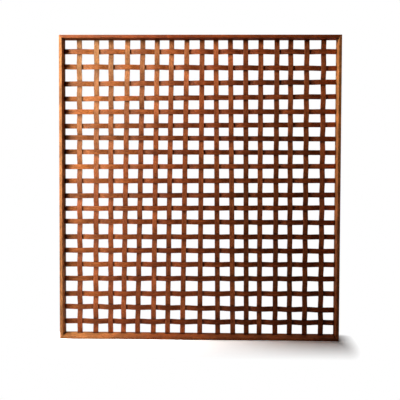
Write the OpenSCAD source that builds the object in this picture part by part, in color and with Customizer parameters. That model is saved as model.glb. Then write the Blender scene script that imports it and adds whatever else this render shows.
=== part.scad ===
// Room divider: one free-standing panel of flat wood slats, woven over and under in a deep mitred frame.
// Origin at the middle of the underside. X is to the right, Y to the back and Z up, so the front faces -Y.

/* [Frame] */
// Overall width, outside the stiles
panel_w = 1829; // [1200:1:2400]
// Overall height, outside the rails
panel_h = 1988; // [1300:1:2400]
// Depth of the four boards, front to back
board_d = 92; // [70:1:140]
// Thickness of the four boards
board_t = 19; // [16:0.5:30]
// Radius of the eased long edges of the boards
edge_r = 1.5; // [0.5:0.1:2.5]

/* [Slats] */
// Number of upright slats
upright_count = 17; // [6:1:22]
// Number of cross slats
cross_count = 20; // [6:1:24]
// Width of a slat
slat_w = 33; // [16:0.5:38]
// Thickness of a slat
slat_t = 9.5; // [4:0.1:11]

/* [Weave] */
// From the inside of a stile to the middle of the upright next to it
first_upright = 94; // [70:1:110]
// From the inside of a rail to the middle of the cross slat next to it
first_cross = 78; // [65:1:100]
// From the back of the frame to the middle of the lattice
lattice_back = 22; // [14:1:30]
// How uneven the hand weaving is: 0 is dead even, 1 is as made
unevenness = 1; // [0:0.1:1]
// Gap between two slats where they cross
cross_gap = 0.1; // [0.05:0.05:0.5]
// Length of slat past each side of a crossing that lies flat
flat_past = 1.5; // [1:0.5:5]

/* [Groove] */
// Depth of the groove that the slat ends sit in
groove_deep = 9; // [5:0.5:11]
// Play between a slat end and each wall of the groove
groove_play = 0.1; // [0.05:0.05:0.3]
// Space between a slat end and the floor of the groove
end_play = 0.7; // [0.6:0.1:2]
// Length of slat that stays straight where it leaves the groove
straight_out = 6; // [2:0.5:10]

/* [Corner splines] */
// Thickness of a spline
spline_t = 4; // [2:0.5:5]
// Width of a spline, half of it in each board
spline_w = 14; // [8:0.5:16]
// From the inner corner of the mitre to the middle of the spline
spline_in = 10; // [8:0.5:11]
// Wood left in front of a spline
spline_front = 12; // [5:0.5:20]
// Wood left between a spline and the groove
spline_back = 8; // [3:0.5:12]
// Play around a spline in its slot
spline_play = 0.1; // [0.05:0.05:0.3]

/* [Hidden] */
// Places of the slats off their even spacing, in hundredths of the spacing, at both ends of each slat
upright_top_off = [5, 20, 15, 25, 25, 20, 15, 15, 15, 5, 0, 0, 0, 5, -5, 0, 10];
upright_foot_off = [5, 10, 10, -5, -10, -5, -10, -10, 5, 25, 25, 15, 0, 5, 0, 0, 5];
cross_left_off = [0, -5, -25, -30, -20, -20, 0, 0, -5, -5, -10, 0, 10, 0, 5, 5, 5, -5, 5, 0];
cross_right_off = [0, -15, -10, -10, -15, -5, -5, 0, 5, 5, 5, 15, 10, 10, 10, 15, 15, 10, -5, 5];
// Straight lengths that a slat's bend from one crossing to the next is made of
bend_steps = 4;

stile_wood = [0.55, 0.29, 0.15];
rail_wood = [0.60, 0.33, 0.17];
upright_wood = [0.58, 0.32, 0.19];
cross_wood = [0.52, 0.27, 0.15];
spline_wood = [0.72, 0.52, 0.32];

inner_w = panel_w - 2 * board_t;
inner_h = panel_h - 2 * board_t;
mid_z = panel_h / 2;
lattice_y = board_d / 2 - lattice_back;
upright_pitch = (inner_w - 2 * first_upright) / (upright_count - 1);
cross_pitch = (inner_h - 2 * first_cross) / (cross_count - 1);
// Distance that a slat stands off the middle of the lattice where it crosses another
swing = (slat_t + cross_gap) / 2;
flat_half = slat_w / 2 + flat_past;
seat = groove_deep - end_play;
groove_w = slat_t + 2 * groove_play;
spline_len = board_d - lattice_back - groove_w / 2 - spline_back - spline_front;
spline_y = -board_d / 2 + spline_front + spline_len / 2;

function two_digits(n) = n < 10 ? str("0", n) : str(n);
function upright_name(j) = str("upright_slat_", two_digits(j));
function cross_name(i) = str("cross_slat_", two_digits(i));

// A slat's offset at one end, taken again from the start of the list where there are more slats than offsets
function offset_at(list, n, pitch) = list[(n - 1) % len(list)] / 100 * pitch * unevenness;

// Where the middle line of upright j lies at its foot and at its top
function upright_even_x(j) = -inner_w / 2 + first_upright + (j - 1) * upright_pitch;
function upright_foot_x(j) = upright_even_x(j) + offset_at(upright_foot_off, j, upright_pitch);
function upright_top_x(j) = upright_even_x(j) + offset_at(upright_top_off, j, upright_pitch);
function upright_x(j) = (upright_foot_x(j) + upright_top_x(j)) / 2;
function upright_slope(j) = (upright_top_x(j) - upright_foot_x(j)) / inner_h;

// Where the middle line of cross slat i, counted from the top, lies at its left and right ends
function cross_even_z(i) = panel_h - board_t - first_cross - (i - 1) * cross_pitch;
function cross_left_z(i) = cross_even_z(i) + offset_at(cross_left_off, i, cross_pitch);
function cross_right_z(i) = cross_even_z(i) + offset_at(cross_right_off, i, cross_pitch);
function cross_z(i) = (cross_left_z(i) + cross_right_z(i)) / 2;
function cross_slope(i) = (cross_right_z(i) - cross_left_z(i)) / inner_w;

// Height and place of the crossing of upright j and cross slat i, where their two straight lines meet
function meet_z(i, j) =
    (cross_z(i) + cross_slope(i) * (upright_x(j) - upright_slope(j) * mid_z))
    / (1 - upright_slope(j) * cross_slope(i));
function meet_x(i, j) = upright_x(j) + upright_slope(j) * (meet_z(i, j) - mid_z);

// -1 where the upright is in front at a crossing, 1 where it is behind
function upright_side(i, j) = (i + j) % 2 == 1 ? -1 : 1;

// Middle line of a slat as [along, depth] points: flat at each crossing, eased between two of them
function ease(a, b) = [
    for (k = [0 : bend_steps])
        [a[0] + (b[0] - a[0]) * k / bend_steps, a[1] + (b[1] - a[1]) * (1 - cos(180 * k / bend_steps)) / 2]
];
function knots(half, crossings) = concat(
    [[-half + straight_out, 0]],
    [for (c = crossings) each [[c[0] - flat_half, c[1] * swing], [c[0] + flat_half, c[1] * swing]]],
    [[half - straight_out, 0]]
);
function middle_line(half, crossings) = let (k = knots(half, crossings)) concat(
    [[-half - seat, 0]],
    [for (n = [0 : 2 : len(k) - 2]) each ease(k[n], k[n + 1])],
    [[half + seat, 0]]
);
function slat_outline(line) = concat(
    [for (p = line) [p[0], p[1] - slat_t / 2]],
    [for (n = [len(line) - 1 : -1 : 0]) [line[n][0], line[n][1] + slat_t / 2]]
);

module upright_slat(j) {
    lean = atan(upright_slope(j));
    crossings = [
        for (i = [cross_count : -1 : 1]) [(meet_z(i, j) - mid_z) / cos(lean), upright_side(i, j)]
    ];
    color(upright_wood)
    translate([upright_x(j), lattice_y, mid_z])
    rotate([0, lean - 90, 0])
    linear_extrude(slat_w, center = true)
    polygon(slat_outline(middle_line(inner_h / 2, crossings)));
}

module cross_slat(i) {
    lean = atan(cross_slope(i));
    crossings = [for (j = [1 : upright_count]) [meet_x(i, j) / cos(lean), -upright_side(i, j)]];
    color(cross_wood)
    translate([0, lattice_y, cross_z(i)])
    rotate([0, -lean, 0])
    linear_extrude(slat_w, center = true)
    polygon(slat_outline(middle_line(inner_w / 2, crossings)));
}

// End view of a board, outside at the bottom, with eased edges and the slat groove in its inside
module board_section() {
    difference() {
        union() {
            translate([-board_d / 2 + edge_r, 0]) square([board_d - 2 * edge_r, board_t]);
            translate([-board_d / 2, edge_r]) square([board_d, board_t - 2 * edge_r]);
            for (y = [-board_d / 2 + edge_r, board_d / 2 - edge_r])
                for (z = [edge_r, board_t - edge_r])
                    translate([y, z]) circle(edge_r, $fn = 32);
        }
        translate([lattice_y - groove_w / 2, board_t - groove_deep]) square([groove_w, board_t]);
    }
}

// A board of a given length that lies on its outside, mitred at both ends
module mitred_board(length) {
    intersection() {
        rotate([90, 0, 90]) linear_extrude(length, center = true) board_section();
        rotate([90, 0, 0]) linear_extrude(board_d, center = true) polygon([
            [-length / 2, 0], [length / 2, 0], [length / 2 - board_t, board_t], [-length / 2 + board_t, board_t]
        ]);
    }
}

// A spline across the mitre of the corner on side sx (-1 left, 1 right) and sz (-1 bottom, 1 top)
module spline_block(sx, sz, play) {
    out = spline_in / sqrt(2);
    translate([sx * (inner_w / 2 + out), spline_y, mid_z + sz * (inner_h / 2 + out)])
    rotate([0, sx * sz * -45, 0])
    cube([spline_t + 2 * play, spline_len + 2 * play, spline_w + 2 * play], center = true);
}

module spline_slots() {
    for (sx = [-1, 1]) for (sz = [-1, 1]) spline_block(sx, sz, spline_play);
}

module bottom_rail() {
    color(rail_wood) difference() {
        mitred_board(panel_w);
        spline_slots();
    }
}

module top_rail() {
    color(rail_wood) difference() {
        translate([0, 0, panel_h]) mirror([0, 0, 1]) mitred_board(panel_w);
        spline_slots();
    }
}

module left_stile() {
    color(stile_wood) difference() {
        translate([-panel_w / 2, 0, mid_z]) rotate([0, 90, 0]) mitred_board(panel_h);
        spline_slots();
    }
}

module right_stile() {
    color(stile_wood) difference() {
        translate([panel_w / 2, 0, mid_z]) rotate([0, -90, 0]) mitred_board(panel_h);
        spline_slots();
    }
}

module corner_spline(sx, sz) {
    color(spline_wood) spline_block(sx, sz, 0);
}

top_rail();
bottom_rail();
left_stile();
right_stile();
for (j = [1 : upright_count]) upright_slat(j);
for (i = [1 : cross_count]) cross_slat(i);
corner_spline(-1, 1);  // spline_top_left
corner_spline(1, 1);  // spline_top_right
corner_spline(-1, -1);  // spline_bottom_left
corner_spline(1, -1);  // spline_bottom_right
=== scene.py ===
"""Dresses the room divider: four deep mitred boards around a lattice of hand-woven slats.

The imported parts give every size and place. Each board and slat is modelled anew inside the room that
its part holds, with eased edges and real bends, and is cut from its own piece of oiled wood. Lengths
are in metres, X is to the right, Y to the back and Z up.
"""

import logging
import math
import random
from collections.abc import Iterable
from dataclasses import dataclass, field, replace
from enum import Enum

import bmesh
import bpy
from mathutils import Euler, Matrix, Vector


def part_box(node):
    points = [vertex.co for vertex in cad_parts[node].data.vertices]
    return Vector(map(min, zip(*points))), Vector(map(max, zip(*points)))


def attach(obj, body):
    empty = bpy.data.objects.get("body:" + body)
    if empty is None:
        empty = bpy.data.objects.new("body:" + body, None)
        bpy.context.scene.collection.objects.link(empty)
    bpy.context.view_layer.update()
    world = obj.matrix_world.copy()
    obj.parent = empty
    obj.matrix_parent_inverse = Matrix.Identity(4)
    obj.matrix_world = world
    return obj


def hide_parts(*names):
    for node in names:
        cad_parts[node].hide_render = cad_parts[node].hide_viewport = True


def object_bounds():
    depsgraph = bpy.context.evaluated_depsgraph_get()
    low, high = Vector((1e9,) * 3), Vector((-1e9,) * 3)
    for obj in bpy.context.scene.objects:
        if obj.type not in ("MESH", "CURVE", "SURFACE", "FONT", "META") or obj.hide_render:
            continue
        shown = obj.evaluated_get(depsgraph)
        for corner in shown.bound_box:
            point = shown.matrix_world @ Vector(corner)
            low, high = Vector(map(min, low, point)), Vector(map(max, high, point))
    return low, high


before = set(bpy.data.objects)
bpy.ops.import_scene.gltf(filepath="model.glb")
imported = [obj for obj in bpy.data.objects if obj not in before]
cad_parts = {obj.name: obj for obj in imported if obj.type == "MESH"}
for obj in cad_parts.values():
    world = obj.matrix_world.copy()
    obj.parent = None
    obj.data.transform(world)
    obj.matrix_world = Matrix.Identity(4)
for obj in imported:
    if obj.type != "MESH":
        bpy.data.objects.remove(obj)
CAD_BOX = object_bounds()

LOG = logging.getLogger("room_divider")

# Two lengths that differ by less count as the same
TINY = 1e-6
# The profile that makes a bevel round
ROUND = 0.5
# The least Z of the normal of a face that looks up
LOOKS_UP = 0.9
# How much of a packed slat, at its end, is measured as that end
SLAT_TIP = 0.003

Triple = tuple[float, float, float]
Colour = tuple[float, float, float]
NodeTree = bpy.types.ShaderNodeTree
Socket = bpy.types.NodeSocket

UNTINTED: Colour = (1.0, 1.0, 1.0)


class Run(Enum):
    """The way a piece of wood runs, which is also the way of its grain."""

    ACROSS = "across"
    UPRIGHT = "upright"


class Side(Enum):
    """One side of the frame, with the turn about Y that takes a board from the bottom to it."""

    BOTTOM = 0
    LEFT = 90
    TOP = 180
    RIGHT = 270


@dataclass(frozen=True)
class Layer:
    """One layer of noise in the wood, whose marks lie along the grain.

    Attributes:
        length: How long its marks are.
        width: How wide they are.
        detail: How many finer layers it has.
        rough: How strong the finer layers are.
        low: The noise at which a mark starts to show.
        high: The noise at which it shows in full.
    """

    length: float
    width: float
    detail: float
    rough: float
    low: float = 0.0
    high: float = 1.0

    def scale(self) -> Triple:
        """Gives the scale that stretches even noise to marks of this size."""
        return (1 / self.length, 1 / self.width, 1 / self.width)


@dataclass(frozen=True)
class WoodFinish:
    """A satin, oiled hardwood with long grain, open pores and rubbed edges, with painted light towards the
    lamps and painted shade where pieces meet.

    Colours are linear, as the shader reads them.

    Attributes:
        name: What the names of its materials start with.
        pale: Colour of the light grain.
        deep: Colour of the dark grain.
        pore: Colour of the pores.
        worn: Colour where the finish is rubbed off.
        painted_light_tint: Tint of the wood where the painted light is full, paler and yellower.
        painted_light_toward: The way towards the lamps, in which the painted light gets stronger.
        painted_light_start: How far that way the painted light starts.
        painted_light_end: How far that way it is full.
        streaks: The fine grain.
        figure: The broad grain.
        pores: The open pores.
        clouds: Broad lighter and darker places.
        mottle: Small lighter and darker places.
        patches: Where the edges are rubbed more and less.
        streak_share: How much of the grain is fine.
        grain_low: Grain value of the deep colour.
        grain_high: Grain value of the pale colour.
        pore_strength: How far a pore hides the wood.
        cloud_dark: Brightness of the darkest cloud.
        cloud_light: Brightness of the lightest cloud.
        mottle_dark: Tint of the darkest mottle.
        mottle_light: Tint of the lightest mottle.
        specular: How strongly the surface mirrors.
        rough_low: Least roughness.
        rough_high: Greatest roughness.
        even_low: Grain and pores together, where the roughness is least.
        even_high: Grain and pores together, where it is greatest.
        grain_relief: How high the grain stands, against the depth of a pore.
        bump_strength: How strongly the relief turns the normal.
        bump_height: Height of the relief.
        wear_width: Width of a rubbed edge.
        wear_start: Likeness of the rounded and the true normal at which wear starts.
        wear_full: Likeness at which it is complete.
        wear_least: How far the least rubbed edge is rubbed off.
        wear_most: How far the most rubbed edge is.
        wear_samples: Samples of the rounded normal.
        painted_shade_width: How far the painted shade reaches from where two pieces meet.
        painted_shade_dark: Brightness under the darkest painted shade.
        painted_shade_full: Openness at which the painted shade is darkest.
        painted_shade_none: Openness at which there is none.
        painted_shade_samples: Samples of the openness.
    """

    name: str
    pale: Colour
    deep: Colour
    pore: Colour
    worn: Colour
    # Painted light and sheen: towards the lamps the colour is tinted paler and yellower.
    painted_light_tint: Colour = (1.1, 1.75, 2.1)
    painted_light_toward: Triple = (-1.0, 0.0, 0.1)
    painted_light_start: float = 0.4
    painted_light_end: float = 0.95
    streaks: Layer = Layer(length=0.55, width=0.007, detail=4, rough=0.6)
    figure: Layer = Layer(length=0.88, width=0.035, detail=3, rough=0.5)
    pores: Layer = Layer(length=0.012, width=0.0006, detail=2, rough=0.6, low=0.60, high=0.72)
    clouds: Layer = Layer(length=1 / 8, width=1 / 8, detail=2, rough=0.5, low=0.35, high=0.65)
    mottle: Layer = Layer(length=0.018, width=0.0045, detail=1, rough=0.5, low=0.32, high=0.68)
    patches: Layer = Layer(length=1 / 26, width=1 / 26, detail=3, rough=0.6, low=0.42, high=0.62)
    streak_share: float = 0.6
    grain_low: float = 0.40
    grain_high: float = 0.60
    pore_strength: float = 0.75
    cloud_dark: float = 0.76
    cloud_light: float = 1.22
    mottle_dark: Colour = (0.74, 0.67, 0.58)
    mottle_light: Colour = (1.22, 1.29, 1.37)
    specular: float = 0.3
    rough_low: float = 0.50
    rough_high: float = 0.66
    even_low: float = 0.3
    even_high: float = 1.1
    grain_relief: float = 0.35
    bump_strength: float = 0.35
    bump_height: float = 0.0003
    wear_width: float = 0.0022
    wear_start: float = 0.95
    wear_full: float = 0.82
    wear_least: float = 0.05
    wear_most: float = 0.5
    wear_samples: int = 12
    # Painted shade: the colour is darkened where two pieces meet and in hollows, where shade falls.
    painted_shade_width: float = 0.018
    painted_shade_dark: float = 0.16
    painted_shade_full: float = 0.55
    painted_shade_none: float = 0.88
    painted_shade_samples: int = 6

    def material(self, piece: str, run: Run, tone: float, shift: Vector) -> bpy.types.Material:
        """Makes the material of one piece, cut from its own place in the wood.

        Args:
            piece: The piece's name, which the material's name ends with.
            run: The way the grain runs.
            tone: How light this piece is; 1 is the finish as written.
            shift: Where in the wood the piece is cut from.

        Returns:
            The finished material.
        """
        made = bpy.data.materials.new(f"{self.name}_{piece}")
        made.use_nodes = True
        made.node_tree.nodes.clear()
        weave = Graph(made.node_tree)
        surface = weave.node("ShaderNodeBsdfPrincipled")
        surface.inputs["Specular IOR Level"].default_value = self.specular
        output = weave.node("ShaderNodeOutputMaterial")
        weave.join(surface.outputs["BSDF"], output.inputs["Surface"])

        place = weave.node("ShaderNodeTexCoord").outputs["Object"]
        along = weave.mapping(place, turn_for(run), shift)
        fine = weave.math("MULTIPLY", weave.noise(along, self.streaks), self.streak_share)
        broad = weave.math("MULTIPLY", weave.noise(along, self.figure), 1 - self.streak_share)
        grain = weave.math("ADD", fine, broad)
        pores = weave.marks(along, self.pores, 0.0, self.pore_strength)

        sound = self.sound_wood(weave, along, grain, pores, tone)
        rubbed = weave.mix(self.wear(weave, place), sound, shade(self.worn, tone))
        # Painted light: the colour is tinted paler and yellower towards the lamps.
        tint = weave.mix(self.painted_light(weave, place), UNTINTED, self.painted_light_tint)
        painted_lit = weave.vector_math("MULTIPLY", rubbed, tint)
        # Painted shade where pieces meet darkens the colour.
        weave.join(weave.brighten(painted_lit, self.painted_shade(weave)), surface.inputs["Base Color"])

        both = weave.math("ADD", grain, pores)
        gloss = weave.spread(both, self.even_low, self.even_high, self.rough_low, self.rough_high)
        weave.join(gloss, surface.inputs["Roughness"])
        weave.join(self.relief(weave, grain, pores), surface.inputs["Normal"])
        return made

    def sound_wood(self, weave: "Graph", along: Socket, grain: Socket, pores: Socket, tone: float) -> Socket:
        """Colours the wood, before any wear, painted light or painted shade.

        Args:
            weave: The graph of the material.
            along: Coordinates with the grain along X.
            grain: The grain, from 0 to 1.
            pores: How far a pore hides the wood.
            tone: How light this piece is.

        Returns:
            The colour.
        """
        stops = [(self.grain_low, shade(self.deep, tone)), (self.grain_high, shade(self.pale, tone))]
        pored = weave.mix(pores, weave.ramp(grain, stops), shade(self.pore, tone))
        clouded = weave.brighten(pored, weave.marks(along, self.clouds, self.cloud_dark, self.cloud_light))
        spots = weave.mix(weave.marks(along, self.mottle, 0.0, 1.0), self.mottle_dark, self.mottle_light)
        return weave.vector_math("MULTIPLY", clouded, spots)

    def relief(self, weave: "Graph", grain: Socket, pores: Socket) -> Socket:
        """Raises the grain a little and sinks the pores.

        Args:
            weave: The graph of the material.
            grain: The grain, from 0 to 1.
            pores: How far a pore hides the wood.

        Returns:
            The normal.
        """
        bump = weave.node("ShaderNodeBump")
        bump.inputs["Strength"].default_value = self.bump_strength
        bump.inputs["Distance"].default_value = self.bump_height
        raised = weave.math("MULTIPLY", grain, self.grain_relief)
        weave.join(weave.math("SUBTRACT", raised, pores), bump.inputs["Height"])
        return bump.outputs["Normal"]

    def wear(self, weave: "Graph", place: Socket) -> Socket:
        """Finds the rubbed edges, where a rounded normal leaves the true one.

        Args:
            weave: The graph of the material.
            place: Object coordinates.

        Returns:
            How far the finish is rubbed off, from 0 to 1.
        """
        rounded = weave.node("ShaderNodeBevel")
        rounded.samples = self.wear_samples
        rounded.inputs["Radius"].default_value = self.wear_width
        true = weave.node("ShaderNodeNewGeometry").outputs["Normal"]
        likeness = weave.vector_math("DOT_PRODUCT", rounded.outputs["Normal"], true, "Value")
        edge = weave.spread(likeness, self.wear_start, self.wear_full, 0.0, 1.0)
        patchy = weave.marks(place, self.patches, self.wear_least, self.wear_most)
        return weave.math("MULTIPLY", edge, patchy)

    def painted_light(self, weave: "Graph", place: Socket) -> Socket:
        """Finds how strong the painted light is, which starts some way towards the lamps.

        Args:
            weave: The graph of the material.
            place: Object coordinates.

        Returns:
            The painted light's strength, from 0 to 1.
        """
        toward = weave.vector_math("DOT_PRODUCT", place, self.painted_light_toward, "Value")
        return weave.spread(toward, self.painted_light_start, self.painted_light_end, 0.0, 1.0)

    def painted_shade(self, weave: "Graph") -> Socket:
        """Finds how dark the painted shade is where two pieces meet and in hollows.

        Args:
            weave: The graph of the material.

        Returns:
            The brightness that the painted shade leaves; 1 is unshaded.
        """
        hollow = weave.node("ShaderNodeAmbientOcclusion")
        hollow.samples = self.painted_shade_samples
        hollow.inputs["Distance"].default_value = self.painted_shade_width
        return weave.spread(hollow.outputs["AO"], self.painted_shade_full, self.painted_shade_none, self.painted_shade_dark, 1.0)


def turn_for(run: Run) -> Euler:
    """Gives the turn that lays the grain of a piece along X."""
    return Euler((0, math.radians(90), 0)) if run is Run.UPRIGHT else Euler()


def shade(colour: Colour, tone: float) -> Colour:
    """Gives a colour made lighter or darker by a tone."""
    return tuple(channel * tone for channel in colour)


def grey(value: float) -> tuple[float, float, float, float]:
    """Gives an opaque grey."""
    return (value, value, value, 1.0)


@dataclass(frozen=True)
class Graph:
    """A material's node tree, with short calls for the nodes that wood needs.

    Attributes:
        tree: The node tree.
        off_grid: A turn that keeps the noise's own square grid from lining up with the wood's faces.
    """

    tree: NodeTree
    off_grid: Triple = (0.5, 0.7, 0.9)

    def node(self, kind: str) -> bpy.types.Node:
        """Adds a node of that kind."""
        return self.tree.nodes.new(kind)

    def join(self, start: Socket, end: Socket) -> None:
        """Links two sockets."""
        self.tree.links.new(start, end)

    def feed(self, value: Socket | float | Iterable[float], end: Socket) -> None:
        """Links a socket, or writes a number or a vector.

        Args:
            value: The socket, number or vector.
            end: The input that it goes to.
        """
        if isinstance(value, bpy.types.NodeSocket):
            self.join(value, end)
        else:
            end.default_value = value

    def mapping(
        self,
        vector: Socket,
        turn: Euler | Triple,
        shift: Iterable[float] = (0.0, 0.0, 0.0),
        scale: Triple = (1.0, 1.0, 1.0),
    ) -> Socket:
        """Scales, turns and shifts a pattern, in this order.

        Args:
            vector: The coordinates to change.
            turn: The turn of the pattern.
            shift: How far it is moved.
            scale: The scale on each axis.

        Returns:
            The changed coordinates.
        """
        made = self.node("ShaderNodeMapping")
        made.inputs["Scale"].default_value = scale
        made.inputs["Rotation"].default_value = turn
        made.inputs["Location"].default_value = shift
        self.join(vector, made.inputs["Vector"])
        return made.outputs["Vector"]

    def noise(self, vector: Socket, layer: Layer) -> Socket:
        """Adds a layer of noise.

        Args:
            vector: The coordinates it reads.
            layer: The size and kind of its marks.

        Returns:
            The noise, from 0 to 1 about a half.
        """
        made = self.node("ShaderNodeTexNoise")
        made.inputs["Scale"].default_value = 1.0
        made.inputs["Detail"].default_value = layer.detail
        made.inputs["Roughness"].default_value = layer.rough
        self.join(self.mapping(vector, self.off_grid, scale=layer.scale()), made.inputs["Vector"])
        return made.outputs["Fac"]

    def marks(self, vector: Socket, layer: Layer, to_low: float, to_high: float) -> Socket:
        """Adds a layer of noise and maps it from where its marks start to where they show in full.

        Args:
            vector: The coordinates it reads.
            layer: The size and kind of its marks.
            to_low: The result where there is no mark.
            to_high: The result in a full mark.

        Returns:
            The mapped noise.
        """
        return self.spread(self.noise(vector, layer), layer.low, layer.high, to_low, to_high)

    def math(self, how: str, first: Socket | float, second: Socket | float) -> Socket:
        """Works out one operation on two values.

        Args:
            how: The operation's name.
            first: The first value.
            second: The second value.

        Returns:
            The result.
        """
        made = self.node("ShaderNodeMath")
        made.operation = how
        self.feed(first, made.inputs[0])
        self.feed(second, made.inputs[1])
        return made.outputs["Value"]

    def vector_math(
        self,
        how: str,
        first: Socket,
        second: Socket | Iterable[float] = (0.0, 0.0, 0.0),
        result: str = "Vector",
    ) -> Socket:
        """Works out one operation on two vectors.

        Args:
            how: The operation's name.
            first: The first vector.
            second: The second vector, for an operation that has one.
            result: The output that is wanted.

        Returns:
            The result.
        """
        made = self.node("ShaderNodeVectorMath")
        made.operation = how
        self.feed(first, made.inputs[0])
        self.feed(second, made.inputs[1])
        return made.outputs[result]

    def spread(self, value: Socket, low: float, high: float, to_low: float, to_high: float) -> Socket:
        """Maps a value from one range to another, held at both ends.

        Args:
            value: The value to map.
            low: Where the first range starts.
            high: Where it ends.
            to_low: The result at the start.
            to_high: The result at the end.

        Returns:
            The mapped value.
        """
        made = self.node("ShaderNodeMapRange")
        self.join(value, made.inputs["Value"])
        ends = {"From Min": low, "From Max": high, "To Min": to_low, "To Max": to_high}
        for name, number in ends.items():
            made.inputs[name].default_value = number
        return made.outputs["Result"]

    def ramp(self, value: Socket, stops: list[tuple[float, Colour]]) -> Socket:
        """Turns a value into a colour between two stops.

        Args:
            value: The value to colour.
            stops: Two places with their colours.

        Returns:
            The colour.
        """
        made = self.node("ShaderNodeValToRGB")
        self.join(value, made.inputs["Fac"])
        for element, (place, colour) in zip(made.color_ramp.elements, stops):
            element.position = place
            element.color = (*colour, 1.0)
        return made.outputs["Color"]

    def mix(self, share: Socket, first: Socket | Colour, second: Socket | Colour) -> Socket:
        """Blends two colours.

        Args:
            share: How much of the second there is.
            first: The first colour.
            second: The second colour.

        Returns:
            The blend.
        """
        made = self.node("ShaderNodeMix")
        made.data_type = "RGBA"
        self.join(share, made.inputs["Factor"])
        for colour, name in ((first, "A_Color"), (second, "B_Color")):
            end = next(socket for socket in made.inputs if socket.identifier == name)
            self.feed(colour if isinstance(colour, bpy.types.NodeSocket) else (*colour, 1.0), end)
        return next(socket for socket in made.outputs if socket.identifier == "Result_Color")

    def brighten(self, colour: Socket, factor: Socket) -> Socket:
        """Multiplies a colour by a number.

        Args:
            colour: The colour.
            factor: The number.

        Returns:
            The product.
        """
        made = self.node("ShaderNodeVectorMath")
        made.operation = "SCALE"
        self.join(colour, made.inputs["Vector"])
        self.join(factor, made.inputs["Scale"])
        return made.outputs["Vector"]


FRAME_FINISH = WoodFinish(
    name="frame_wood",
    pale=(0.62, 0.160, 0.042),
    deep=(0.42, 0.095, 0.021),
    pore=(0.14, 0.024, 0.006),
    worn=(0.70, 0.22, 0.07),
)
TOP_FINISH = WoodFinish(
    name="top_wood",
    pale=(0.58, 0.112, 0.018),
    deep=(0.40, 0.066, 0.009),
    pore=(0.14, 0.020, 0.004),
    worn=(0.66, 0.18, 0.05),
    painted_light_tint=(1.05, 1.4, 1.6),
)
# The bottom rail: stronger painted light, paler and yellower towards its left end.
FOOT_FINISH = replace(
    FRAME_FINISH,
    name="foot_wood",
    painted_light_tint=(1.35, 2.1, 2.5),
    painted_light_toward=(-1.0, 0.0, 0.0),
    painted_light_start=0.3,
    painted_light_end=0.8,
)
# The right stile: painted light, paler and yellower towards its top.
PAINTED_LIGHT_TOP_FINISH = replace(
    FRAME_FINISH,
    name="painted_light_top_wood",
    painted_light_tint=(1.3, 1.85, 2.1),
    painted_light_toward=(0.0, 0.0, 1.0),
    painted_light_start=0.3,
    painted_light_end=1.6,
)
# Paler than the cross slats' wood: painted sheen, which the uprights catch more of.
UPRIGHT_FINISH = WoodFinish(
    name="upright_wood",
    pale=(0.57, 0.145, 0.039),
    deep=(0.39, 0.086, 0.020),
    pore=(0.14, 0.026, 0.007),
    worn=(0.63, 0.19, 0.06),
    painted_light_tint=(1.29, 2.4, 3.3),
    painted_light_toward=(-1.0, 0.0, 0.87),
    painted_light_start=1.48,
    painted_light_end=2.36,
)
# Darker than the uprights' wood, as the cross slats catch less of the painted sheen.
CROSS_FINISH = WoodFinish(
    name="cross_wood",
    pale=(0.46, 0.098, 0.020),
    deep=(0.30, 0.056, 0.010),
    pore=(0.11, 0.018, 0.004),
    worn=(0.52, 0.14, 0.035),
    painted_light_tint=(1.40, 2.05, 2.2),
    painted_light_toward=(-1.0, 0.0, 0.3),
    painted_light_start=0.5,
    painted_light_end=1.25,
)
SPLINE_FINISH = WoodFinish(
    name="spline_wood",
    pale=(0.52, 0.30, 0.14),
    deep=(0.38, 0.19, 0.08),
    pore=(0.20, 0.09, 0.04),
    worn=(0.60, 0.38, 0.20),
)


@dataclass
class Workshop:
    """What every piece has in common: how it is finished off and given its own cut of wood.

    Attributes:
        seed: Where the random draws start.
        cut_spread: How far to each side of the origin a piece may be cut from.
        tone_spread: How much lighter or darker a piece may be than its finish.
        sharp_from: Angle between two faces, in degrees, from which their edge stays sharp.
        draws: The random draws.
    """

    seed: int = 98637
    cut_spread: float = 4.0
    tone_spread: float = 0.20
    sharp_from: float = 50.0
    draws: random.Random = field(init=False)

    def __post_init__(self) -> None:
        """Starts the draws from the seed."""
        self.draws = random.Random(self.seed)

    def cut(self) -> tuple[float, Vector]:
        """Draws how light the next piece is, and the place in the wood that it is cut from.

        Returns:
            The tone and the place.
        """
        tone = 1 + self.draws.uniform(-self.tone_spread, self.tone_spread)
        shift = Vector([self.draws.uniform(-self.cut_spread, self.cut_spread) for _ in range(3)])
        return tone, shift

    def piece(
        self, name: str, shape: bmesh.types.BMesh, node: str, slot: str, finish: WoodFinish, run: Run
    ) -> None:
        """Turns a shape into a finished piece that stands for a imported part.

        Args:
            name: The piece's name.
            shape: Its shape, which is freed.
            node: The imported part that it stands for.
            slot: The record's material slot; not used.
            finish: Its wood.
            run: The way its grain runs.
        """
        sharp = math.radians(self.sharp_from)
        bmesh.ops.recalc_face_normals(shape, faces=shape.faces)
        for face in shape.faces:
            face.smooth = True
        for edge in shape.edges:
            edge.smooth = len(edge.link_faces) == 2 and edge.calc_face_angle() < sharp
        mesh = bpy.data.meshes.new(name)
        shape.to_mesh(mesh)
        shape.free()
        made = bpy.data.objects.new(name, mesh)
        bpy.context.scene.collection.objects.link(made)
        weights = made.modifiers.new("even_normals", "WEIGHTED_NORMAL")
        weights.keep_sharp = True
        tone, shift = self.cut()
        mesh.materials.append(finish.material(name, run, tone, shift))
        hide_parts(node)
        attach(made, "root")
        LOG.info("%s: %d faces", name, len(mesh.polygons))


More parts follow.
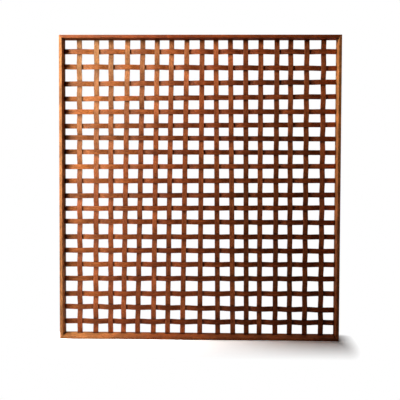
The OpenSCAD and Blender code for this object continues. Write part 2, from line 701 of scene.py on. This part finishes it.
@dataclass
class DeepFrame:
    """The four boards, mitred at the corners, with a groove inside for the slat ends.

    Attributes:
        workshop: Where the boards are finished off.
        edge_radius: Radius of the eased long edges.
        edge_steps: Faces around an eased edge.
        groove_deep: Depth of the groove.
        groove_play: Play between a slat end and each wall of the groove.
        names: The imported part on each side.
        finishes: The wood on each side.
    """

    workshop: Workshop
    edge_radius: float = 0.0015
    edge_steps: int = 3
    groove_deep: float = 0.009
    groove_play: float = 0.0001
    names: dict[Side, str] = field(
        default_factory=lambda: {
            Side.BOTTOM: "bottom_rail",
            Side.LEFT: "left_stile",
            Side.TOP: "top_rail",
            Side.RIGHT: "right_stile",
        }
    )
    finishes: dict[Side, WoodFinish] = field(
        default_factory=lambda: {
            Side.BOTTOM: FOOT_FINISH,
            Side.LEFT: FRAME_FINISH,
            Side.TOP: TOP_FINISH,
            Side.RIGHT: PAINTED_LIGHT_TOP_FINISH,
        }
    )

    def build(self, lattice: "Lattice") -> None:
        """Builds the boards around the lattice.

        Args:
            lattice: The measured lattice, whose slats set the place and width of the groove.
        """
        for side, node in self.names.items():
            low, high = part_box(node)
            run = Run.ACROSS if side in (Side.BOTTOM, Side.TOP) else Run.UPRIGHT
            board = self.board(low, high, run, lattice)
            turn = Matrix.Rotation(math.radians(side.value), 4, "Y")
            middle = (low + high) / 2
            bmesh.ops.transform(board, matrix=Matrix.Translation(middle) @ turn, verts=board.verts)
            self.workshop.piece(f"{node}_board", board, node, "frame_wood", self.finishes[side], run)

    def board(self, low: Vector, high: Vector, run: Run, lattice: "Lattice") -> bmesh.types.BMesh:
        """Shapes one board, centred at the origin with its outside underneath.

        Args:
            low: Lowest corner of its part.
            high: Highest corner of its part.
            run: The way it runs.
            lattice: The lattice that its groove holds.

        Returns:
            The board's shape.
        """
        size = high - low
        length, thick = (size.x, size.z) if run is Run.ACROSS else (size.z, size.x)
        board = bmesh.new()
        bmesh.ops.create_cube(board, size=1.0)
        bmesh.ops.scale(board, vec=(length, size.y, thick), verts=board.verts)
        self.cut_groove(board, lattice)
        long_edges = [
            edge
            for edge in board.edges
            if all(abs(abs(vert.co.y) - size.y / 2) < TINY for vert in edge.verts)
            and abs(edge.verts[0].co.z - edge.verts[1].co.z) < TINY
            and edge.calc_length() > length / 2
        ]
        bmesh.ops.bevel(
            board,
            geom=long_edges,
            offset=self.edge_radius,
            segments=self.edge_steps,
            profile=ROUND,
            affect="EDGES",
            material=-1,
        )
        for end in (-1, 1):
            self.mitre(board, end, length, thick)
        return board

    def cut_groove(self, board: bmesh.types.BMesh, lattice: "Lattice") -> None:
        """Sinks the groove into the inside face of a board.

        Args:
            board: The board, still square at its ends.
            lattice: The lattice that the groove holds.
        """
        half = lattice.thick / 2 + self.groove_play
        for wall in (-half, half):
            bmesh.ops.bisect_plane(
                board,
                geom=[*board.verts, *board.edges, *board.faces],
                plane_co=(0, lattice.depth + wall, 0),
                plane_no=(0, 1, 0),
            )
        strip = [
            face
            for face in board.faces
            if face.normal.z > LOOKS_UP and abs(face.calc_center_median().y - lattice.depth) < half
        ]
        grown = bmesh.ops.extrude_face_region(board, geom=strip)["geom"]
        sunk = [part for part in grown if isinstance(part, bmesh.types.BMVert)]
        bmesh.ops.translate(board, vec=(0, 0, -self.groove_deep), verts=sunk)

    @staticmethod
    def mitre(board: bmesh.types.BMesh, end: int, length: float, thick: float) -> None:
        """Cuts one end of a board at 45 degrees and closes the cut.

        Args:
            board: The board.
            end: -1 for its left end, 1 for its right one.
            length: Its length along the outside.
            thick: Its thickness.
        """
        cut = bmesh.ops.bisect_plane(
            board,
            geom=[*board.verts, *board.edges, *board.faces],
            plane_co=(end * length / 2, 0, -thick / 2),
            plane_no=(end, 0, 1),
            clear_outer=True,
        )
        rim = [part for part in cut["geom_cut"] if isinstance(part, bmesh.types.BMEdge)]
        bmesh.ops.contextual_create(board, geom=rim)


@dataclass(frozen=True)
class Strip:
    """One slat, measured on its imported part: the middle of each of its ends."""

    node: str
    run: Run
    start: Vector
    end: Vector

    def across_at(self, place: float) -> float:
        """Gives how far to the side the slat is.

        Args:
            place: A place along its run.

        Returns:
            Its X there if it is upright, else its height.
        """
        run, side = (2, 0) if self.run is Run.UPRIGHT else (0, 2)
        share = (place - self.start[run]) / (self.end[run] - self.start[run])
        return self.start[side] + share * (self.end[side] - self.start[side])


@dataclass
class Lattice:
    """The upright and cross slats, woven over one and under one.

    Attributes:
        workshop: Where the slats are finished off.
        bend_steps: Straight lengths that the bend from one crossing to the next is made of.
        flat_past: Length of slat past each side of a crossing that lies flat.
        in_groove: Length of slat that sits in the groove.
        straight_out: Length of slat that stays straight where it leaves the groove.
        edge_radius: Radius of the eased edges.
        edge_steps: Faces around an eased edge.
        uprights: The upright slats, from the left.
        crosses: The cross slats, from the top.
        thick: Thickness of a slat.
        wide: Width of a slat.
        depth: How far back the middle of the lattice lies.
        swing: How far a slat stands off that middle where it crosses another.
    """

    workshop: Workshop
    bend_steps: int = 10
    flat_past: float = 0.0015
    in_groove: float = 0.0083
    straight_out: float = 0.006
    edge_radius: float = 0.0009
    edge_steps: int = 2
    uprights: list[Strip] = field(init=False)
    crosses: list[Strip] = field(init=False)
    thick: float = field(init=False)
    wide: float = field(init=False)
    depth: float = field(init=False)
    swing: float = field(init=False)

    def __post_init__(self) -> None:
        """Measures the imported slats."""
        self.uprights = self.measure("upright_slat_", Run.UPRIGHT)
        self.crosses = self.measure("cross_slat_", Run.ACROSS)
        low, high = self.end_box(self.uprights[0].node, Run.UPRIGHT, -1)
        self.thick = high.y - low.y
        self.wide = high.x - low.x
        self.depth = (high.y + low.y) / 2
        low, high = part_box(self.uprights[0].node)
        self.swing = (high.y - low.y - self.thick) / 2

    def measure(self, start: str, run: Run) -> list[Strip]:
        """Finds the ends of every slat of one run.

        Args:
            start: What the names of their parts start with.
            run: The way they run.

        Returns:
            The slats, in the order of their names.
        """
        strips = []
        for node in sorted(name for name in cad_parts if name.startswith(start)):
            ends = [sum(self.end_box(node, run, side), Vector()) / 2 for side in (-1, 1)]
            strips.append(Strip(node, run, *ends))
        return strips

    @staticmethod
    def end_box(node: str, run: Run, side: int) -> tuple[Vector, Vector]:
        """Gives the lowest and highest corner of one end of a slat.

        Args:
            node: Its part's name.
            run: The way it runs.
            side: -1 for its left or lower end, 1 for the other one.

        Returns:
            The two corners.
        """
        axis = 2 if run is Run.UPRIGHT else 0
        points = [vert.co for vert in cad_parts[node].data.vertices]
        reach = max(side * point[axis] for point in points)
        tip = [point for point in points if side * point[axis] > reach - SLAT_TIP]
        return tuple(Vector([pick(point[k] for point in tip) for k in range(3)]) for pick in (min, max))

    def build(self) -> None:
        """Builds every slat."""
        for number, upright in enumerate(self.uprights, 1):
            places = [
                (self.meet(upright, cross), self.upright_side(number, row))
                for row, cross in enumerate(self.crosses, 1)
            ]
            self.slat(upright, places, "upright_wood", UPRIGHT_FINISH)
        for row, cross in enumerate(self.crosses, 1):
            places = [
                (self.meet(upright, cross), -self.upright_side(number, row))
                for number, upright in enumerate(self.uprights, 1)
            ]
            self.slat(cross, places, "cross_wood", CROSS_FINISH)

    @staticmethod
    def upright_side(number: int, row: int) -> int:
        """Gives the side that an upright passes a cross slat on: -1 in front, 1 behind."""
        return -1 if (number + row) % 2 else 1

    @staticmethod
    def meet(upright: Strip, cross: Strip) -> Vector:
        """Finds where an upright and a cross slat meet, nearer with each round.

        Args:
            upright: The upright.
            cross: The cross slat.

        Returns:
            The place.
        """
        rounds = 4
        height = cross.start.z
        for _ in range(rounds):
            side = upright.across_at(height)
            height = cross.across_at(side)
        return Vector((side, upright.start.y, height))

    def slat(
        self, strip: Strip, crossings: list[tuple[Vector, int]], slot: str, finish: WoodFinish
    ) -> None:
        """Builds one slat: its eased section is pulled along its bends, then laid in its place.

        Args:
            strip: The measured slat.
            crossings: Where it meets the others, and the side it passes on, -1 for the front.
            slot: The record's material slot.
            finish: Its wood.
        """
        middle = (strip.start + strip.end) / 2
        line = strip.end - strip.start
        reach = line.length / 2
        pull = line.normalized()
        stops = sorted(((place - middle).dot(pull), side * self.swing) for place, side in crossings)
        shape = bmesh.new()
        face = self.section(shape, -reach)
        for place, bend in self.bends(reach, stops):
            face = self.pull_to(shape, face, place, bend)
        side = Vector((0, 1, 0)).cross(pull) * -1
        turn = Matrix((pull, (0, 1, 0), side)).transposed().to_4x4()
        bmesh.ops.transform(shape, matrix=Matrix.Translation(middle) @ turn, verts=shape.verts)
        self.workshop.piece(f"{strip.node}_strip", shape, strip.node, slot, finish, strip.run)

    def section(self, shape: bmesh.types.BMesh, place: float) -> bmesh.types.BMFace:
        """Draws a slat's eased section at one of its ends.

        Args:
            shape: The shape to draw it in.
            place: Where along the slat it stands.

        Returns:
            The section's face, square to X.
        """
        turned = Matrix.Rotation(math.radians(-90), 4, "Y")
        bmesh.ops.create_grid(shape, x_segments=1, y_segments=1, size=0.5, matrix=turned)
        bmesh.ops.scale(shape, vec=(1, self.thick, self.wide), verts=shape.verts)
        bmesh.ops.translate(shape, vec=(place, 0, 0), verts=shape.verts)
        bmesh.ops.bevel(
            shape,
            geom=list(shape.verts),
            offset=self.edge_radius,
            segments=self.edge_steps,
            profile=ROUND,
            affect="VERTICES",
            material=-1,
        )
        return max(shape.faces, key=lambda face: face.calc_area())

    @staticmethod
    def pull_to(
        shape: bmesh.types.BMesh, face: bmesh.types.BMFace, place: float, bend: float
    ) -> bmesh.types.BMFace:
        """Pulls the end of a slat on to its next place.

        Args:
            shape: The slat so far.
            face: Its end.
            place: Where along the slat the end goes.
            bend: How far behind the middle of the lattice it goes.

        Returns:
            The new end.
        """
        grown = bmesh.ops.extrude_face_region(shape, geom=[face])["geom"]
        verts = [part for part in grown if isinstance(part, bmesh.types.BMVert)]
        centre = sum((vert.co for vert in verts), Vector()) / len(verts)
        bmesh.ops.translate(shape, vec=(place - centre.x, bend - centre.y, 0), verts=verts)
        return next(part for part in grown if isinstance(part, bmesh.types.BMFace))

    def bends(self, reach: float, stops: list[tuple[float, float]]) -> Iterable[tuple[float, float]]:
        """Gives the places along a slat, each with its bend: flat at a crossing, eased between two.

        Args:
            reach: Half the slat's length.
            stops: The crossings along it, with the bend at each.

        Returns:
            Pairs of a place and a bend.
        """
        flat = self.wide / 2 + self.flat_past
        straight_to = reach - self.in_groove - self.straight_out
        knots = [(-straight_to, 0.0)]
        for place, bend in stops:
            knots += [(place - flat, bend), (place + flat, bend)]
        knots.append((straight_to, 0.0))
        for (start, low), (end, high) in zip(knots[::2], knots[1::2]):
            for step in range(self.bend_steps + 1):
                share = step / self.bend_steps
                eased = (1 - math.cos(math.pi * share)) / 2
                yield start + (end - start) * share, low + (high - low) * eased
        yield reach, 0.0


@dataclass
class CornerSplines:
    """The four splines inside the mitres, which stay as packed and get a finish."""

    workshop: Workshop

    def dress(self) -> None:
        """Gives each spline its own cut of wood."""
        for node in sorted(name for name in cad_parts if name.startswith("spline_")):
            tone, shift = self.workshop.cut()
            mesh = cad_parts[node].data
            mesh.materials.clear()
            mesh.materials.append(SPLINE_FINISH.material(node, Run.ACROSS, tone, shift))
            LOG.info("%s: dressed as packed", node)


@dataclass(frozen=True)
class PhotoCamera:
    """The camera, at the photograph's place and angle.

    Attributes:
        place: Where it stands.
        turn_left: How far it is turned to the left, in degrees.
        tilt_up: How far it is tilted up, in degrees.
        roll: How far it is rolled, in degrees.
        lens: Focal length, in millimetres.
        sensor: Width of the sensor, in millimetres.
        shift_up: Shift of the lens, as a share of the picture.
    """

    place: Triple = (0.076, -3.613, 1.220)
    turn_left: float = 1.15
    tilt_up: float = -1.65
    roll: float = 0.20
    lens: float = 49.47
    sensor: float = 36.0
    shift_up: float = -0.076

    def build(self) -> None:
        """Sets the camera up."""
        data = bpy.data.cameras.new("photo_camera")
        data.lens = self.lens
        data.sensor_width = self.sensor
        data.shift_y = self.shift_up
        camera = bpy.data.objects.new("photo_camera", data)
        camera.location = self.place
        angles = (90 + self.tilt_up, -self.roll, self.turn_left)
        camera.rotation_euler = [math.radians(angle) for angle in angles]
        bpy.context.scene.collection.objects.link(camera)
        bpy.context.scene.camera = camera


@dataclass(frozen=True)
class SoftBox:
    """A soft lamp with a flat, four-sided face, aimed at a point.

    Attributes:
        name: Its name.
        place: Where it hangs.
        aim: What it is aimed at.
        wide: Width of its face.
        high: Height of its face.
        power: Its power, in watts.
        spread: How far its light spreads, in degrees.
        colour: Its colour.
        glossy: Whether it shows in the sheen of the wood.
    """

    name: str
    place: Triple
    aim: Triple
    wide: float
    high: float
    power: float
    spread: float = 180.0
    colour: Colour = UNTINTED
    glossy: bool = True

    def build(self) -> None:
        """Hangs the lamp."""
        data = bpy.data.lights.new(self.name, "AREA")
        data.shape = "RECTANGLE"
        data.size = self.wide
        data.size_y = self.high
        data.spread = math.radians(self.spread)
        data.color = self.colour
        data.energy = self.power
        lamp = bpy.data.objects.new(self.name, data)
        lamp.visible_glossy = self.glossy
        lamp.location = self.place
        beam = Vector(self.aim) - Vector(self.place)
        lamp.rotation_euler = beam.to_track_quat("-Z", "Y").to_euler()
        bpy.context.scene.collection.objects.link(lamp)


LAMPS = (
    SoftBox(
        name="key",
        place=(-1.7, -1.66, 1.48),
        aim=(-1.12, 0.0, 0.97),
        wide=0.5,
        high=1.9,
        power=5.5,
        spread=75.0,
        colour=(1.0, 0.97, 0.9),
    ),
    SoftBox(
        name="near",
        place=(-1.6, -0.75, 1.2),
        aim=(-0.58, 0.0, 1.15),
        wide=0.25,
        high=1.5,
        power=4.3,
        spread=120.0,
        colour=(1.0, 0.98, 0.92),
    ),
    SoftBox(
        name="top",
        place=(-1.82, -1.77, 2.78),
        aim=(-0.22, 0.0, 2.27),
        wide=0.6,
        high=0.9,
        power=6.3,
        spread=54.0,
        colour=(1.0, 0.93, 0.86),
    ),
    SoftBox(
        name="overhead",
        place=(-1.3, -0.9, 4.6),
        aim=(-0.9, -0.05, 0.0),
        wide=0.45,
        high=0.45,
        power=4.2,
        spread=36.0,
    ),
    SoftBox(
        name="side_low",
        place=(-3.5, -0.6, 0.8),
        aim=(0.0, 0.0, 0.8),
        wide=0.5,
        high=0.8,
        power=3.6,
    ),
    SoftBox(
        name="side_high",
        place=(-5.0, -0.5, 2.3),
        aim=(0.9, 0.0, 1.65),
        wide=0.3,
        high=0.5,
        power=3.1,
        spread=24.0,
        colour=(0.88, 1.0, 0.96),
    ),
    SoftBox(
        name="back",
        place=(0.6, 4.0, 1.6),
        aim=(0.0, 0.0, 1.0),
        wide=3.0,
        high=2.5,
        power=32.0,
        glossy=False,
    ),
)


@dataclass(frozen=True)
class Studio:
    """A pale floor in a white room, lit by soft boxes from the left, from above and from behind.

    Attributes:
        lamps: The lamps.
        floor_half: Half the side of the floor.
        floor_colour: How pale the floor is where it only lights the divider.
        floor_gain: How much paler it looks to the camera.
        shadow_start: Share of the reaches below at which the floor starts to turn white.
        shadow_front: How far in front of the divider's foot the floor is all white.
        shadow_back: How far behind the foot it is.
        shadow_side: How far beside the foot it is.
        fill: Strength of the room's own light on the divider.
    """

    lamps: tuple[SoftBox, ...] = LAMPS
    floor_half: float = 12.0
    floor_colour: float = 0.8
    floor_gain: float = 4.0
    shadow_start: float = 0.1
    shadow_front: float = 0.33
    shadow_back: float = 0.06
    shadow_side: float = 0.11
    fill: float = 0.01

    def build(self) -> None:
        """Lays the floor, paints the room and hangs the lamps."""
        bpy.context.scene.view_settings.view_transform = "Standard"
        self.lay_floor()
        self.paint_room()
        for lamp in self.lamps:
            lamp.build()

    def lay_floor(self) -> None:
        """Lays the floor, which fades to white away from the divider and keeps its shadow."""
        paint = bpy.data.materials.new("floor_paint")
        paint.use_nodes = True
        paint.node_tree.nodes.clear()
        graph = Graph(paint.node_tree)
        bare = graph.node("ShaderNodeBsdfDiffuse")
        bare.inputs["Color"].default_value = grey(self.floor_colour)
        lit = graph.node("ShaderNodeBsdfDiffuse")
        lit.inputs["Color"].default_value = grey(self.floor_colour * self.floor_gain)
        white = graph.node("ShaderNodeEmission")
        white.inputs["Strength"].default_value = 1.0
        seen = self.blend(graph, self.away(graph), lit.outputs["BSDF"], white.outputs["Emission"])
        camera_ray = graph.node("ShaderNodeLightPath").outputs["Is Camera Ray"]
        both = self.blend(graph, camera_ray, bare.outputs["BSDF"], seen)
        output = graph.node("ShaderNodeOutputMaterial")
        graph.join(both, output.inputs["Surface"])
        shape = bmesh.new()
        bmesh.ops.create_grid(shape, x_segments=1, y_segments=1, size=self.floor_half)
        mesh = bpy.data.meshes.new("floor")
        shape.to_mesh(mesh)
        shape.free()
        mesh.materials.append(paint)
        floor = bpy.data.objects.new("floor", mesh)
        bpy.context.scene.collection.objects.link(floor)

    def away(self, graph: Graph) -> Socket:
        """Measures how far a place on the floor is from the divider's foot.

        Args:
            graph: The graph of the floor's paint.

        Returns:
            0 near the foot, 1 where the floor is all white.
        """
        place = graph.node("ShaderNodeTexCoord").outputs["Object"]
        held = graph.vector_math("MAXIMUM", place, CAD_BOX[0])
        nearest = graph.vector_math("MINIMUM", held, CAD_BOX[1])
        beyond = graph.vector_math("SUBTRACT", place, nearest)
        side, front, back = (1 / reach for reach in (self.shadow_side, self.shadow_front, self.shadow_back))
        right_front = graph.vector_math("MULTIPLY", beyond, (side, -front, 0.0))
        left_back = graph.vector_math("MULTIPLY", beyond, (-side, back, 0.0))
        either = graph.vector_math("MAXIMUM", right_front, left_back)
        length = graph.vector_math("LENGTH", either, result="Value")
        return graph.spread(length, self.shadow_start, 1.0, 0.0, 1.0)

    @staticmethod
    def blend(graph: Graph, share: Socket, first: Socket, second: Socket) -> Socket:
        """Blends two shaders.

        Args:
            graph: The graph they are in.
            share: How much of the second there is.
            first: The first shader.
            second: The second shader.

        Returns:
            The blend.
        """
        made = graph.node("ShaderNodeMixShader")
        for number, socket in enumerate((share, first, second)):
            graph.join(socket, made.inputs[number])
        return made.outputs["Shader"]

    def paint_room(self) -> None:
        """Makes the room white where it is seen, and dim where it lights or shows in a sheen."""
        world = bpy.data.worlds.new("room")
        world.use_nodes = True
        world.node_tree.nodes.clear()
        graph = Graph(world.node_tree)
        dim = graph.node("ShaderNodeBackground")
        dim.inputs["Strength"].default_value = self.fill
        white = graph.node("ShaderNodeBackground")
        for shader in (dim, white):
            shader.inputs["Color"].default_value = grey(1.0)
        rays = graph.node("ShaderNodeLightPath").outputs
        seen = graph.math("MAXIMUM", rays["Is Camera Ray"], rays["Is Transmission Ray"])
        room = self.blend(graph, seen, dim.outputs["Background"], white.outputs["Background"])
        output = graph.node("ShaderNodeOutputWorld")
        graph.join(room, output.inputs["Surface"])
        bpy.context.scene.world = world


def main() -> None:
    """Builds the camera, the divider and the studio."""
    logging.basicConfig(level=logging.INFO, format="%(message)s")
    PhotoCamera().build()
    workshop = Workshop()
    lattice = Lattice(workshop)
    DeepFrame(workshop).build(lattice)
    lattice.build()
    CornerSplines(workshop).dress()
    Studio().build()


if __name__ == "__main__":
    main()
